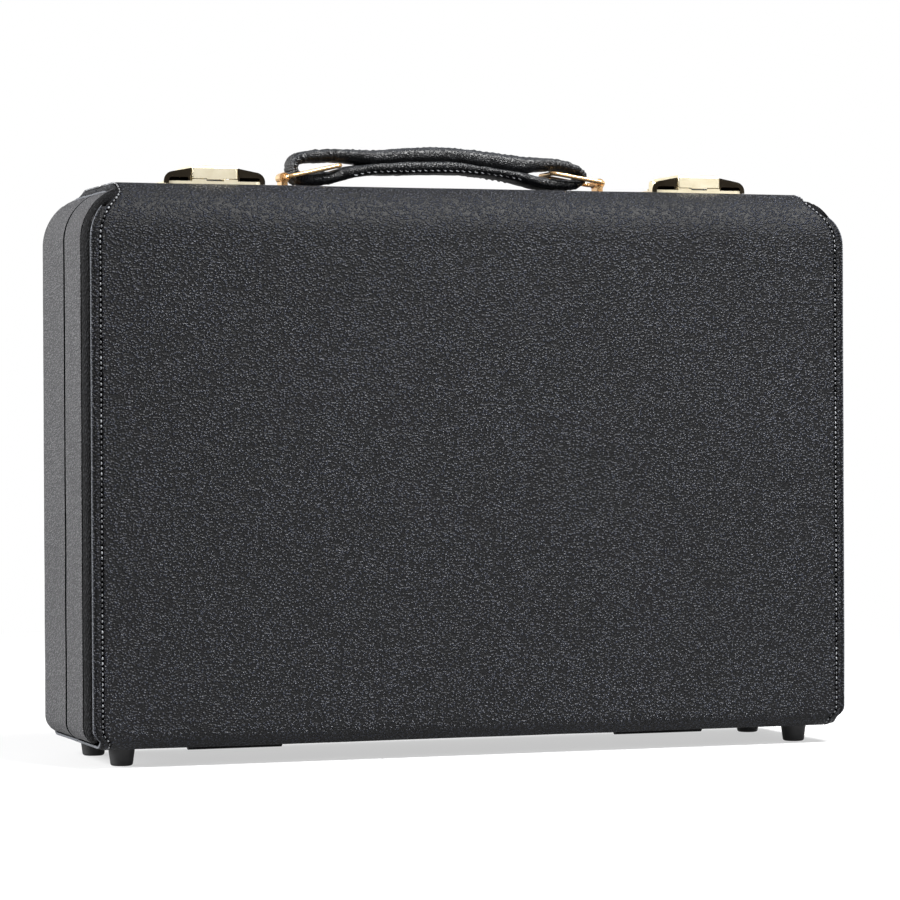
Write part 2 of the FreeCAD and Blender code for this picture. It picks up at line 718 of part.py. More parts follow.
# Fitted bed in the base: a back board, rails between the pockets, and raised pocket floors
bed_end_in = lined_end_in + tongue_t + bed_clear
bed_face_in = lined_face_in + tongue_t + bed_clear
bed_half = case_half - bed_end_in
bed_low = z_low + bed_face_in
bed_high = z_high - bed_face_in
bed_y = base_rim_y + bed_below_rim
board_y = back_y - lined_face_in - bed_board_t
bed_form = outline_prism(bed_end_in, bed_face_in, bed_y, back_y).common(roll_prism(lined_face_in))
left_x = bed_edge - bed_half
right_x = bed_half - bed_edge
row_1 = bed_low + bed_edge
row_2 = row_1 + lower_joint_w + bed_web
row_3 = row_2 + upper_joint_w + bed_web
row_4 = row_3 + bell_w + bed_web
row_end = bed_high - bed_edge
small_x = left_x + bell_l + bed_web
small_end = small_x + mouthpiece_l
spare_z = row_3 + bell_w - small_pocket_w
lower_joint = (left_x, right_x - barrel_l - bed_web)
upper_joint = (left_x, right_x - mouthpiece_l - bed_web)
rod_half = bed_half - rod_end_in
rows = (
    (row_1, row_1 + lower_joint_w, (lower_joint, (right_x - barrel_l, right_x))),
    (row_2, row_2 + upper_joint_w, (upper_joint, (right_x - mouthpiece_l, right_x))),
    (row_3, row_3 + bell_w, ((left_x, left_x + bell_l), (small_x, small_end), (small_end + bed_web, right_x))),
    (row_4, row_end, ((-rod_half, rod_half),)),
)
pocket_floors = (
    (rows[0][2][0], rows[0][:2], joint_floor_t),
    (rows[0][2][1], rows[0][:2], small_floor_t),
    (rows[1][2][0], rows[1][:2], joint_floor_t),
    (rows[1][2][1], rows[1][:2], small_floor_t),
    (rows[2][2][1], (row_3, row_3 + small_pocket_w), small_floor_t),
    (rows[2][2][1], (spare_z, row_3 + bell_w), small_floor_t),
    (rows[2][2][2], rows[2][:2], tool_floor_t),
    (rows[3][2][0], rows[3][:2], rod_floor_t),
)


def bed_block(x0, x1, z0, z1, y0):
    """A block of the bed from y0 to the back board, trimmed to the case's form."""
    return box(x0, x1, y0, board_y, z0, z1).common(bed_form)


rails = []
between = [bed_low] + [z for z0, z1, spans in rows for z in (z0, z1)] + [bed_high]
for z0, z1 in zip(between[::2], between[1::2]):
    rails.append(bed_block(-bed_half, bed_half, z0, z1, bed_y))
for z0, z1, spans in rows:
    stops = [-bed_half] + [x for span in spans for x in span] + [bed_half]
    for x0, x1 in zip(stops[::2], stops[1::2]):
        rails.append(bed_block(x0, x1, z0, z1, bed_y))
rails.append(bed_block(small_x, small_end, row_3 + small_pocket_w, spare_z, bed_y))
nodes["bed_rails"] = rails
nodes["bed_floors"] = [bed_block(*span, *row, board_y - floor_t) for span, row, floor_t in pocket_floors]
board_space = box(-bed_half, bed_half, board_y, back_y, bed_low, bed_high)
nodes["bed_board"] = [bed_form.common(board_space)]

os.makedirs("parts", exist_ok=True)
for name, solids in nodes.items():
    shape = solids[0] if len(solids) == 1 else Part.Compound(solids)
    shape.exportStep("parts/" + name + ".step")
    print(name, len(shape.Solids), shape.isValid(), round(shape.Volume / 1000, 3), "cm3")
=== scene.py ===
"""Clarinet case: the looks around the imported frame, in metres, in the frame's own axes."""

import json
import math

import bmesh
import bpy
from mathutils import Matrix, Vector, noise


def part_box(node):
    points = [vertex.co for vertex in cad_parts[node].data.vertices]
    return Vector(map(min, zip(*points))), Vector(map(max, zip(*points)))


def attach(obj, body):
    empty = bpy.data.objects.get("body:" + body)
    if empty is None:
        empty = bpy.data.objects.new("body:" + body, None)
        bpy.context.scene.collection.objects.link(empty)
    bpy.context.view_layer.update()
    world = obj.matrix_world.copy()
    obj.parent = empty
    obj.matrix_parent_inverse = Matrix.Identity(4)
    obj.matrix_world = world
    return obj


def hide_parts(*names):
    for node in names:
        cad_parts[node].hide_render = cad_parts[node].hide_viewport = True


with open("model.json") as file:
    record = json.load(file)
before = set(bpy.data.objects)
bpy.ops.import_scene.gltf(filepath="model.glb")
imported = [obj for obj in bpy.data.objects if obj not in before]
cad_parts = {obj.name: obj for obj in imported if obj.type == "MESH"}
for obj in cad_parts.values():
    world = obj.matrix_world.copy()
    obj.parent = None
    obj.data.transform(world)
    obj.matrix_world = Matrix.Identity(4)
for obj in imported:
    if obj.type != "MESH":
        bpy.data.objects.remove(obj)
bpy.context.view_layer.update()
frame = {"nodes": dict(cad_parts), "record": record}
MM = 0.001

# Camera, at the photograph's viewing angle
CAM_PLACE = Vector((-540.7, -1548.8, 148.9)) * MM
CAM_AZIMUTH = math.radians(19.281)
CAM_PITCH = math.radians(0.369)
CAM_ROLL = math.radians(-0.281)
CAM_LENS, CAM_SENSOR, CAM_NEAR = 141.2, 36.0, 0.05

# Softboxes: name, place, target, (width, height), watts
SOFTBOXES = (
    ("key", (-1.5, 0.3, 0.75), (-0.18, 0.0, 0.13), (0.8, 1.0), 50.0),
    ("top", (0.45, -0.62, 1.3), (0.08, -0.03, 0.22), (0.8, 0.22), 54.0),
    ("front", (1.2, -1.5, 0.8), (0.05, -0.05, 0.12), (0.4, 0.5), 6.0),
)

# Floor: corners of each ring, the rings' radii, and the radii between which it turns white
FLOOR_SIDES, FLOOR_RINGS = 64, (0.3, 0.8, 1.6, 3.0, 6.0)
FADE_START, FADE_END, FADE_LEAST = 0.2, 1.0, 0.55
WHITE = (1.0, 1.0, 1.0, 1.0)

# Leather's edges, worn pale and given a painted highlight, and the painted black shade of its hollows
EDGE_TONE = (0.15, 0.158, 0.175, 1.0)
HOLLOW_TONE = (0.001, 0.001, 0.001, 1.0)

# From here on millimetres. Case: half its width, its bottom and top, its two faces
HALF, LOW, HIGH = 182.0, 8.0, 258.0
LID_FACE, BASE_FACE = -47.0, 47.0
LID_RIM, BASE_RIM = -2.3, -1.7
# Front view's corner rounds, side view's rolled edges, and the small round at the rim
CORNER_HIGH, CORNER_LOW = 24.0, 8.0
ROLL_HIGH, ROLL_LOW, RIM_ROUND = 22.0, 8.0, 1.2

# Cover: its thickness in the solids and as drawn, its flange's inset, its half width at top and bottom
COVER_T, SHEET_T, FLANGE_IN = 1.8, 1.0, 1.5
TOP_END, LOW_END = 169.4, 177.0
# How softly the side edges run into the straight ones at the top and bottom
BLEND_HIGH, BLEND_LOW = 5.0, 1.5
# Side view: the lip inside the rim, and the rows' steps underneath and elsewhere
RIM_LIP, UNDER_STEP, FACE_STEP = 3.2, 3.0, 2.6
# Heights between which the flange changes at the top and at the bottom
TOP_ZONE, LOW_ZONE = (243.0, 257.6), (10.0, 18.0)
# The flange's drop behind the face and its reach from the edge, with what the top and bottom add
DROP, DROP_TOP, DROP_LOW = 0.5, 3.4, 0.3
REACH, REACH_TOP = 3.8, 1.4
# The seam's groove: distance from the edge, depth, what the top takes off it, and width
STITCH_IN, GROOVE, GROOVE_TOP, GROOVE_WIDTH = 4.3, 0.6, 0.35, 0.5
# Its stitches' pitch, length, radius and sink; the leather's gentle waves
WRAP_STITCH = (2.3, 1.35, 0.36, -0.16)
COVER_WAVES, END_WAVES = 0.16, 0.14
# Painted light across the edge, as (strength, place, width): the cut edge worn pale with a painted highlight,
# a painted highlight on the ridge, and painted shade in the groove and the fold
COVER_SHADES = ((0.8, 0.0, 0.35), (0.12, 3.5, 0.5), (-1.3, STITCH_IN, 0.75), (-0.5, 1.4, 0.7))
# The cover's columns: distances in from each end edge, and the number of strips between them
COVER_INS = (0.0, 0.25, 0.6, 1.0, 1.5, 2.1, 2.7, 3.2, 3.6, 3.9, 4.1, 4.3, 4.5, 4.7, 5.0, 5.5, 6.3, 7.5, 9.0,
             11.0, 14.0, 18.0, 23.0, 29.0, 36.0)
COVER_MIDDLE = 36

# End leathers: thickness, step along the outline and across, and height above the cover's inside
END_T, END_STEP, END_PITCH, END_LIFT = 0.8, 2.4, 2.2, 0.95
# Their profiles: (y, radius) at the rim and at the far edge, and how deep the far edge is turned in
LID_END = ((LID_RIM, 1.0), (-33.2, 0.8), 1.2)
BASE_END = ((BASE_RIM, 1.0), (45.2, 5.0), 2.0)
# How deep the rim's edge is turned in, its straight part, and the step that ends its painted black shade in
# the parting gap
TURN_IN, TURN_STRAIGHT, PARTING_NUDGE = 3.0, 0.4, 0.4
# Steps in the rounds at both edges; a far round under this radius is painted black as shade from its middle on
NEAR_STEPS, FAR_STEPS, SHARP = 5, 8, 2.0
# Rows at the outline's bottom that are painted black as shade, and the depth within which the leather waves
END_DARK_ROWS, WAVE_WITHIN = 4, 0.4
# The rolled bead: (y, inward, painted shade) at its edges, and the roll between as start, size, steps and the
# degrees between which it is painted black as shade
BEAD_EDGE = ((-33.3, 2.2, -1.0), (-33.7, 1.2, -0.9), (-34.2, 0.5, -0.8), (-34.9, 0.15, -0.4),
             (-36.0, 0.0, -0.1))
BEAD_LAST = (-45.0, 9.5, -1.0)
BEAD_START, BEAD_SIZE, BEAD_STEPS, BEAD_DARK = (-36.8, 0.1), (8.2, 6.0), 12, (25.0, 62.0)

# Handle: (outer x, z), (inner x, z) and width at stations round the belt, from the top's middle to the
# right
HANDLE_Y = 6.0
HANDLE_STATIONS = (
    (0.0, 279.0, 0.0, 271.9, 22.0), (10.0, 278.3, 10.0, 270.9, 22.0), (20.0, 277.4, 20.0, 269.5, 22.0),
    (30.0, 276.4, 30.0, 268.3, 22.0), (38.0, 275.5, 38.0, 267.6, 21.0), (46.0, 275.3, 46.0, 268.7, 18.4),
    (54.0, 275.0, 53.5, 269.3, 16.6), (61.0, 273.9, 59.5, 268.8, 16.0), (66.6, 271.4, 63.6, 267.9, 16.0),
    (69.9, 268.4, 66.0, 266.9, 16.0), (70.0, 265.0, 66.4, 265.7, 16.0), (68.0, 262.3, 65.3, 264.8, 16.0),
    (64.2, 260.6, 62.0, 264.9, 16.0), (56.0, 260.3, 55.6, 265.3, 16.6), (48.0, 260.6, 47.6, 266.2, 18.4),
    (41.0, 262.0, 40.6, 267.3, 20.4), (33.0, 264.1, 33.0, 268.0, 22.0), (24.0, 265.4, 24.0, 269.1, 22.0),
    (12.0, 266.4, 12.0, 270.8, 22.0), (0.0, 266.6, 0.0, 272.0, 22.0), (-12.0, 266.3, -12.0, 271.8, 22.0),
    (-22.0, 265.9, -22.0, 271.4, 22.0), (-33.0, 265.7, -33.0, 270.6, 22.0), (-42.0, 264.7, -41.6, 270.2, 20.4),
    (-49.0, 262.9, -48.4, 269.2, 18.4), (-55.0, 261.2, -54.4, 267.3, 16.6), (-61.0, 260.3, -60.6, 266.5, 16.0),
    (-67.0, 260.2, -66.4, 266.4, 16.0), (-71.6, 260.6, -69.8, 266.4, 16.0), (-73.9, 262.6, -71.2, 267.1, 16.0),
    (-74.9, 266.8, -71.7, 267.8, 16.0), (-75.2, 270.4, -71.6, 268.8, 16.0), (-73.8, 273.4, -70.6, 269.8, 16.0),
    (-71.0, 275.2, -68.4, 270.4, 16.0), (-66.0, 276.4, -64.6, 270.8, 16.0), (-58.0, 277.1, -57.6, 271.2, 16.6),
    (-50.0, 277.2, -50.0, 271.2, 18.4), (-42.0, 277.0, -42.0, 270.6, 20.4), (-33.0, 277.1, -33.0, 270.7, 22.0),
    (-22.0, 278.1, -22.0, 271.3, 22.0), (-11.0, 278.8, -11.0, 271.8, 22.0),
)
BELT_ROWS, BELT_AROUND = 480, 48
# How far the grip's inside is pressed in, and where, from the middle, the grip ends and the loops begin
GRIP_PRESS, GRIP_END, LOOP_START = 0.9, (34.0, 44.0), (42.0, 56.0)
# Squareness of the section across and through, and of its normals
ACROSS_POWER, THROUGH_POWER, NORMAL_POWER = 2.0 / 3.4, 2.0 / 2.7, 0.8
# Grooves on the outside, as (depth, width): the loops' middle one and the two along the edges
LOOP_GROOVE, EDGE_GROOVE, EDGE_GROOVE_IN = (0.55, 1.3), (0.32, 0.45), 2.4
# The station where the belt's two ends meet, the groove's width in stations, and what it takes off the
# belt's thickness and width
BUTT_SEAM, BUTT_WIDTH, BUTT_DEPTH, BUTT_NARROW = 21.0, 0.035, 0.14, 0.035
# Swells of the skin: fine, folds, and folds added in the loops
BELT_FINE, BELT_FOLDS, LOOP_FOLDS = 0.22, 0.12, 0.3
# Handle seams: degrees round the section, stations from and to, stitch radius and sink
HANDLE_SEAMS = ((62.0, -4.6, 4.4, 0.22, 0.04), (118.0, -4.6, 4.4, 0.22, 0.04),
                (30.0, 15.6, 23.6, 0.36, -0.1), (150.0, 15.6, 23.6, 0.36, -0.1))
SEAM_STEPS, SEAM_PITCH, SEAM_LENGTH, SEAM_SLANT = 160, 3.1, 2.0, 0.35

# A stitch's rings: how far along it, and how thick
THREAD_RINGS = ((0.0, 0.55), (0.12, 0.9), (0.35, 1.0), (0.65, 1.0), (0.88, 0.9), (1.0, 0.55))
THREAD_SIDES = 6

# Lid's padded board: its grid, the heights of its crown and ripples, and the distance that joins its skins
PAD_ROWS, PAD_COLS, PAD_CROWN, PAD_RIPPLE, PAD_MERGE = 60, 90, 2.4, 0.12, 0.02
# Bed's skin: the size of its cells, and how strongly and how often it is smoothed
BED_VOXEL, BED_SMOOTHING, BED_PASSES = 2.0, 0.5, 5
# Edge rounds of the solids, by the start of their names, their steps and the angle from which an edge counts
EDGE_ROUNDS = {"latch": 0.22, "strike": 0.22, "handle_post": 0.25, "lid_hinge": 0.2, "base_hinge": 0.2,
               "post_rivets": 0.15, "lid_feet": 0.3, "base_feet": 0.3}
EDGE_STEPS, EDGE_ANGLE = 3, math.radians(35.0)


def link(obj):
    bpy.context.collection.objects.link(obj)
    return obj


def add_camera():
    data = bpy.data.cameras.new("camera")
    data.lens = CAM_LENS
    data.sensor_width = CAM_SENSOR
    data.sensor_fit = "HORIZONTAL"
    data.clip_start = CAM_NEAR
    obj = link(bpy.data.objects.new("camera", data))
    ahead = Vector((math.sin(CAM_AZIMUTH) * math.cos(CAM_PITCH),
                    math.cos(CAM_AZIMUTH) * math.cos(CAM_PITCH), -math.sin(CAM_PITCH)))
    level = Vector((math.cos(CAM_AZIMUTH), -math.sin(CAM_AZIMUTH), 0.0))
    up = level.cross(ahead)
    c, s = math.cos(CAM_ROLL), math.sin(CAM_ROLL)
    axes = Matrix((c * level + s * up, c * up - s * level, -ahead)).transposed()
    obj.matrix_world = Matrix.Translation(CAM_PLACE) @ axes.to_4x4()
    bpy.context.scene.camera = obj


def add_light(name, place, target, size, power):
    """A white rectangular softbox of this size that faces the target."""
    data = bpy.data.lights.new(name, "AREA")
    data.shape = "RECTANGLE"
    data.size, data.size_y = size
    data.energy = power
    obj = link(bpy.data.objects.new(name, data))
    obj.location = place
    obj.rotation_euler = (Vector(target) - Vector(place)).to_track_quat("-Z", "Y").to_euler()


def material(name):
    mat = bpy.data.materials.new(name)
    mat.use_nodes = True
    return mat, mat.node_tree, mat.node_tree.nodes["Principled BSDF"]


def node(tree, kind, props=None, **inputs):
    """A shader node; an input given as a socket is linked, any other is set."""
    new = tree.nodes.new("ShaderNode" + kind)
    for key, value in (props or {}).items():
        setattr(new, key, value)
    for key, value in inputs.items():
        put(tree, new.inputs[key.replace("_", " ")], value)
    return new


def put(tree, socket, value):
    if isinstance(value, bpy.types.NodeSocket):
        tree.links.new(value, socket)
    else:
        socket.default_value = value


def noise_fac(tree, **inputs):
    return node(tree, "TexNoise", **inputs).outputs["Fac"]


def place_map(tree, scale=(1.0, 1.0, 1.0)):
    """The piece's own coordinates at rest, stretched by this scale."""
    coord = node(tree, "TexCoord")
    return node(tree, "Mapping", Vector=coord.outputs["Object"], Scale=scale).outputs["Vector"]


def maths(tree, operation, *values, clamp=False):
    new = node(tree, "Math", {"operation": operation, "use_clamp": clamp})
    for socket, value in zip(new.inputs, values):
        put(tree, socket, value)
    return new.outputs[0]


def mixed(tree, first, second, weight):
    """The first height or shade, and the second with this weight, added."""
    return maths(tree, "ADD", first, maths(tree, "MULTIPLY", second, weight))


def blend(tree, factor, first, second):
    """The first colour turned into the second by the factor."""
    mix = node(tree, "Mix", {"data_type": "RGBA", "clamp_factor": True}, Factor=factor, A=first, B=second)
    return mix.outputs["Result"]


def map_range(tree, value, start=0.0, end=1.0, low=0.0, high=1.0, kind="LINEAR"):
    """The value's range from start to end, laid out from low to high."""
    rng = node(tree, "MapRange", {"interpolation_type": kind}, Value=value, From_Min=start, From_Max=end,
               To_Min=low, To_Max=high)
    return rng.outputs["Result"]


def two_tone(tree, value, dark, light, start=0.3, end=0.7):
    ramp = node(tree, "ValToRGB", Fac=value)
    for stop, place, colour in zip(ramp.color_ramp.elements, (start, end), (dark, light)):
        stop.position = place
        stop.color = (*colour, 1.0)
    return ramp.outputs["Color"]


def finish_surface(tree, bsdf, colour, rough, height, strength, depth):
    """Wires the colour, the roughness and a relief of this strength and depth to the shader."""
    bump = node(tree, "Bump", Strength=strength, Distance=depth, Height=height)
    for name, socket in (("Base Color", colour), ("Roughness", rough), ("Normal", bump.outputs["Normal"])):
        tree.links.new(socket, bsdf.inputs[name])


def leather(name, dark, light, grain=1000.0, wrinkle=420.0, stretch=(0.8, 1.0, 1.1), depth=0.0005,
            rough=(0.6, 0.3), specular=0.26):
    """Pebbled leather: raised grains glossier than the creases between them. The grains are painted lighter as
    painted glints and the creases darker as painted shade, under a broad random tone.

    The attribute "wear_and_painted_light" makes the edges worn pale with a painted highlight where it is above
    0, and paints dull black shade below 0."""
    mat, tree, bsdf = material(name)
    even, drawn = place_map(tree), place_map(tree, stretch)
    pebble = node(tree, "TexVoronoi", {"feature": "SMOOTH_F1"}, Vector=drawn, Scale=grain, Smoothness=0.35)
    raised = map_range(tree, pebble.outputs["Distance"], start=0.1, end=0.62, low=1.0, high=0.0)
    fine = noise_fac(tree, Vector=even, Scale=grain * 1.3, Detail=2.0)
    crease = noise_fac(tree, Vector=drawn, Scale=wrinkle, Detail=7.0, Roughness=0.62, Distortion=0.5)
    broad = noise_fac(tree, Vector=even, Scale=22.0, Detail=4.0, Roughness=0.6)
    height = mixed(tree, mixed(tree, raised, fine, weight=0.5), crease, weight=0.5)
    # The colour follows the relief: painted glints on the grains, painted shade in the creases, and a random
    # broad tone
    tone = map_range(tree, mixed(tree, height, broad, weight=0.35), start=0.75, end=1.6)
    wear_and_painted_light = node(tree, "Attribute", {"attribute_name": "wear_and_painted_light"}).outputs["Fac"]
    # Edges worn pale with a painted highlight where the attribute is above 0, painted black shade where it is
    # below 0
    rubbed_and_highlit = blend(tree, wear_and_painted_light, two_tone(tree, tone, dark, light, start=0.3, end=0.95), EDGE_TONE)
    hollow = maths(tree, "MULTIPLY", wear_and_painted_light, -1.0, clamp=True)
    tree.links.new(map_range(tree, hollow, low=specular, high=0.0), bsdf.inputs["Specular IOR Level"])
    finish_surface(tree, bsdf, blend(tree, hollow, rubbed_and_highlit, HOLLOW_TONE),
                   map_range(tree, tone, low=rough[0], high=rough[1]), height, 1.0, depth)
    return mat


def metal(name, dark, light, rough=(0.18, 0.34), metallic=1.0):
    """Plated metal with faint handling marks."""
    mat, tree, bsdf = material(name)
    even = place_map(tree)
    scuff = noise_fac(tree, Vector=even, Scale=900.0, Detail=5.0, Roughness=0.6)
    cloud = noise_fac(tree, Vector=even, Scale=70.0, Detail=5.0, Roughness=0.65)
    bsdf.inputs["Metallic"].default_value = metallic
    dull = map_range(tree, mixed(tree, cloud, scuff, weight=0.4), low=rough[0], high=rough[1])
    finish_surface(tree, bsdf, two_tone(tree, cloud, dark, light, start=0.35, end=0.65), dull,
                   scuff, 0.5, 0.00002)
    return mat


def plush(name, dark, light, scale):
    """Short pile with brushed patches."""
    mat, tree, bsdf = material(name)
    even = place_map(tree)
    pile = noise_fac(tree, Vector=even, Scale=scale, Detail=3.0, Roughness=0.7)
    patch = noise_fac(tree, Vector=even, Scale=26.0, Detail=4.0, Roughness=0.6, Distortion=0.8)
    tone = mixed(tree, patch, pile, weight=0.45)
    finish_surface(tree, bsdf, two_tone(tree, tone, dark, light, start=0.5, end=0.95),
                   map_range(tree, pile, low=0.8, high=1.0), pile, 0.9, 0.0004)
    bsdf.inputs["Sheen Weight"].default_value = 0.6
    bsdf.inputs["Sheen Roughness"].default_value = 0.4
    bsdf.inputs["Specular IOR Level"].default_value = 0.2
    return mat


def wood(name):
    """Ply edges in thin level layers, painted near black away from the rim as painted shade where the leather
    covers the ply.
    """
    mat, tree, bsdf = material(name)
    even = place_map(tree)
    layers = node(tree, "TexWave", {"bands_direction": "Y"}, Vector=even, Scale=220.0, Distortion=1.5,
                  Detail=3.0)
    grain = noise_fac(tree, Vector=place_map(tree, (1.0, 14.0, 14.0)), Scale=40.0, Detail=5.0)
    tone = mixed(tree, layers.outputs["Fac"], grain, weight=0.8)
    away = maths(tree, "ABSOLUTE", node(tree, "SeparateXYZ", Vector=even).outputs["Y"])
    # Away from the rim the ply is painted near black, as shade where it shows between the leathers
    painted_shade_mask = map_range(tree, away, start=0.004, end=0.007, kind="SMOOTHSTEP")
    bare = two_tone(tree, tone, (0.30, 0.19, 0.10), (0.50, 0.36, 0.21), start=0.3, end=1.2)
    painted_shade_colour = two_tone(tree, tone, (0.004, 0.004, 0.005), (0.012, 0.011, 0.012))
    finish_surface(tree, bsdf, blend(tree, painted_shade_mask, bare, painted_shade_colour), map_range(tree, grain, low=0.55, high=0.8),
                   grain, 0.4, 0.0001)
    return mat


def rubber_mat(name, dark, light):
    """Moulded rubber with a dusty bloom."""
    mat, tree, bsdf = material(name)
    even = place_map(tree)
    dust = noise_fac(tree, Vector=even, Scale=120.0, Detail=6.0, Roughness=0.65)
    fine = noise_fac(tree, Vector=even, Scale=1600.0, Detail=2.0)
    finish_surface(tree, bsdf, two_tone(tree, dust, dark, light, start=0.4, end=0.75),
                   map_range(tree, dust, low=0.45, high=0.75), fine, 0.5, 0.00008)
    return mat


def thread_mat(name, dark, light):
    """Waxed twisted thread."""
    mat, tree, bsdf = material(name)
    even = place_map(tree)
    twist = node(tree, "TexWave", {"bands_direction": "DIAGONAL"}, Vector=even, Scale=700.0, Distortion=1.0)
    fray = noise_fac(tree, Vector=even, Scale=230.0, Detail=4.0, Roughness=0.7)
    finish_surface(tree, bsdf, two_tone(tree, fray, dark, light, start=0.4, end=0.68),
                   map_range(tree, fray, low=0.35, high=0.65), twist.outputs["Fac"], 0.6, 0.00012)
    return mat


mats = {
    "cover_leather": leather("cover_leather", (0.0008, 0.001, 0.0018), (0.021, 0.0245, 0.037)),
    # end_leather is the cover's black leather painted lighter: painted light of the key lamp on the ends
    "end_leather": leather("end_leather", (0.012, 0.012, 0.0145), (0.075, 0.074, 0.081),
                           stretch=(1.0, 0.8, 1.1), rough=(0.55, 0.34), specular=0.55),
    # bead_leather is the same leather painted darker: painted shade on the bead where it turns to the front
    "bead_leather": leather("bead_leather", (0.001, 0.001, 0.0014), (0.012, 0.0125, 0.015),
                            stretch=(1.0, 1.0, 0.6), rough=(0.75, 0.5), specular=0.1),
    "handle_leather": leather("handle_leather", (0.0008, 0.0009, 0.0012), (0.014, 0.015, 0.018),
                              grain=1300.0, wrinkle=260.0, stretch=(1.0, 1.0, 1.0), depth=0.0002,
                              rough=(0.42, 0.22), specular=0.34),
    "plywood": wood("plywood"),
    "lining_cloth": plush("lining_cloth", (0.012, 0.010, 0.020), (0.04, 0.033, 0.06), scale=1800.0),
    "plush": plush("plush", (0.018, 0.012, 0.034), (0.06, 0.045, 0.10), scale=1500.0),
    "rubber": rubber_mat("rubber", (0.006, 0.006, 0.007), (0.03, 0.03, 0.032)),
    "screw_steel": metal("screw_steel", (0.42, 0.42, 0.44), (0.60, 0.60, 0.62)),
    "dark_steel": metal("dark_steel", (0.012, 0.012, 0.013), (0.03, 0.03, 0.032), rough=(0.35, 0.55)),
    "pale_gold": metal("pale_gold", (0.78, 0.69, 0.47), (0.90, 0.82, 0.62), rough=(0.22, 0.34),
                       metallic=0.55),
    # mirror_gold's dark gold is a painted reflection of a dark room in polished gold
    "mirror_gold": metal("mirror_gold", (0.25, 0.19, 0.11), (0.42, 0.34, 0.21), rough=(0.05, 0.12)),
    "warm_gold": metal("warm_gold", (0.78, 0.46, 0.20), (0.95, 0.68, 0.36), rough=(0.14, 0.3),
                       metallic=0.75),
    "thread": thread_mat("thread", (0.02, 0.02, 0.022), (0.36, 0.37, 0.39)),
}


def add_floor():
    """A round pale floor that turns to plain white away from the object."""
    corners = range(FLOOR_SIDES)
    turns = [2 * math.pi * k / FLOOR_SIDES for k in corners]
    verts = [(0.0, 0.0, 0.0)]
    verts += [(r * math.cos(turn), r * math.sin(turn), 0.0) for r in FLOOR_RINGS for turn in turns]
    faces = [(0, 1 + k, 1 + (k + 1) % FLOOR_SIDES) for k in corners]
    for i in range(len(FLOOR_RINGS) - 1):
        inner = 1 + i * FLOOR_SIDES
        outer = inner + FLOOR_SIDES
        for k in corners:
            l = (k + 1) % FLOOR_SIDES
            faces.append((inner + k, outer + k, outer + l, inner + l))
    mesh = bpy.data.meshes.new("studio_floor")
    mesh.from_pydata(verts, [], faces)
    floor = link(bpy.data.objects.new("studio_floor", mesh))
    mat, tree, bsdf = material("studio_floor")
    coord = node(tree, "TexCoord").outputs["Object"]
    far = node(tree, "VectorMath", {"operation": "LENGTH"}, Vector=coord)
    fade = map_range(tree, far.outputs["Value"], start=FADE_START, end=FADE_END, low=FADE_LEAST,
                     kind="SMOOTHSTEP")
    cloud = noise_fac(tree, Vector=coord, Scale=3.0, Detail=4.0)
    tree.links.new(two_tone(tree, cloud, (0.86, 0.86, 0.86), (0.9, 0.9, 0.9)), bsdf.inputs["Base Color"])
    bsdf.inputs["Roughness"].default_value = 0.8
    bsdf.inputs["Specular IOR Level"].default_value = 0.2
    seen = node(tree, "LightPath").outputs["Is Camera Ray"]
    glow = node(tree, "Emission", Strength=map_range(tree, seen, low=0.3))
    mix = node(tree, "MixShader", Fac=fade)
    tree.links.new(bsdf.outputs["BSDF"], mix.inputs[1])
    tree.links.new(glow.outputs["Emission"], mix.inputs[2])
    tree.links.new(mix.outputs["Shader"], tree.nodes["Material Output"].inputs["Surface"])
    mesh.materials.append(mat)


def add_world():
    """A studio with a white wall behind, dark overhead and dim in front, plain white to the eye."""
    world = bpy.data.worlds.new("studio")
    world.use_nodes = True
    tree = world.node_tree
    split = node(tree, "SeparateXYZ", Vector=node(tree, "TexCoord").outputs["Generated"])
    behind = map_range(tree, split.outputs["Y"], start=0.2, end=0.8, kind="SMOOTHSTEP")
    under = map_range(tree, split.outputs["Z"], start=0.5, end=0.15, kind="SMOOTHSTEP")
    dim = two_tone(tree, split.outputs["Z"], (0.07, 0.07, 0.08), (0.14, 0.14, 0.15), start=0.1, end=0.5)
    lit = blend(tree, maths(tree, "MULTIPLY", behind, under), dim, WHITE)
    plain = blend(tree, node(tree, "LightPath").outputs["Is Camera Ray"], lit, WHITE)
    shade = tree.nodes["Background"]
    tree.links.new(plain, shade.inputs["Color"])
    shade.inputs["Strength"].default_value = 1.0
    bpy.context.scene.world = world
    bpy.context.scene.view_settings.view_transform = "Standard"


def dress_nodes():
    """Every CAD node takes its slot's material; the tongue is wrapped in the lining's cloth."""
    slots = {entry["node"]: entry["material_slot"] for entry in frame["record"]["subparts"]}
    slots["rim_tongue"] = "lining_cloth"
    # The strike's wings take the gold painted dark as a painted reflection
    slots["strike_wings_left"] = slots["strike_wings_right"] = "mirror_gold"
    for name, obj in frame["nodes"].items():
        obj.data.materials.clear()
        obj.data.materials.append(mats[slots[name]])


def smoothstep(low, high, value):
    t = min(max((value - low) / (high - low), 0.0), 1.0)
    return t * t * (3.0 - 2.0 * t)


def soft_max(a, b, k):
    h = max(k - abs(a - b), 0.0) / k
    return max(a, b) + h * h * k / 4.0


def hill(value, centre, width):
    """1 at the centre, falling to nothing a few widths away."""
    return math.exp(-((value - centre) / width) ** 2)


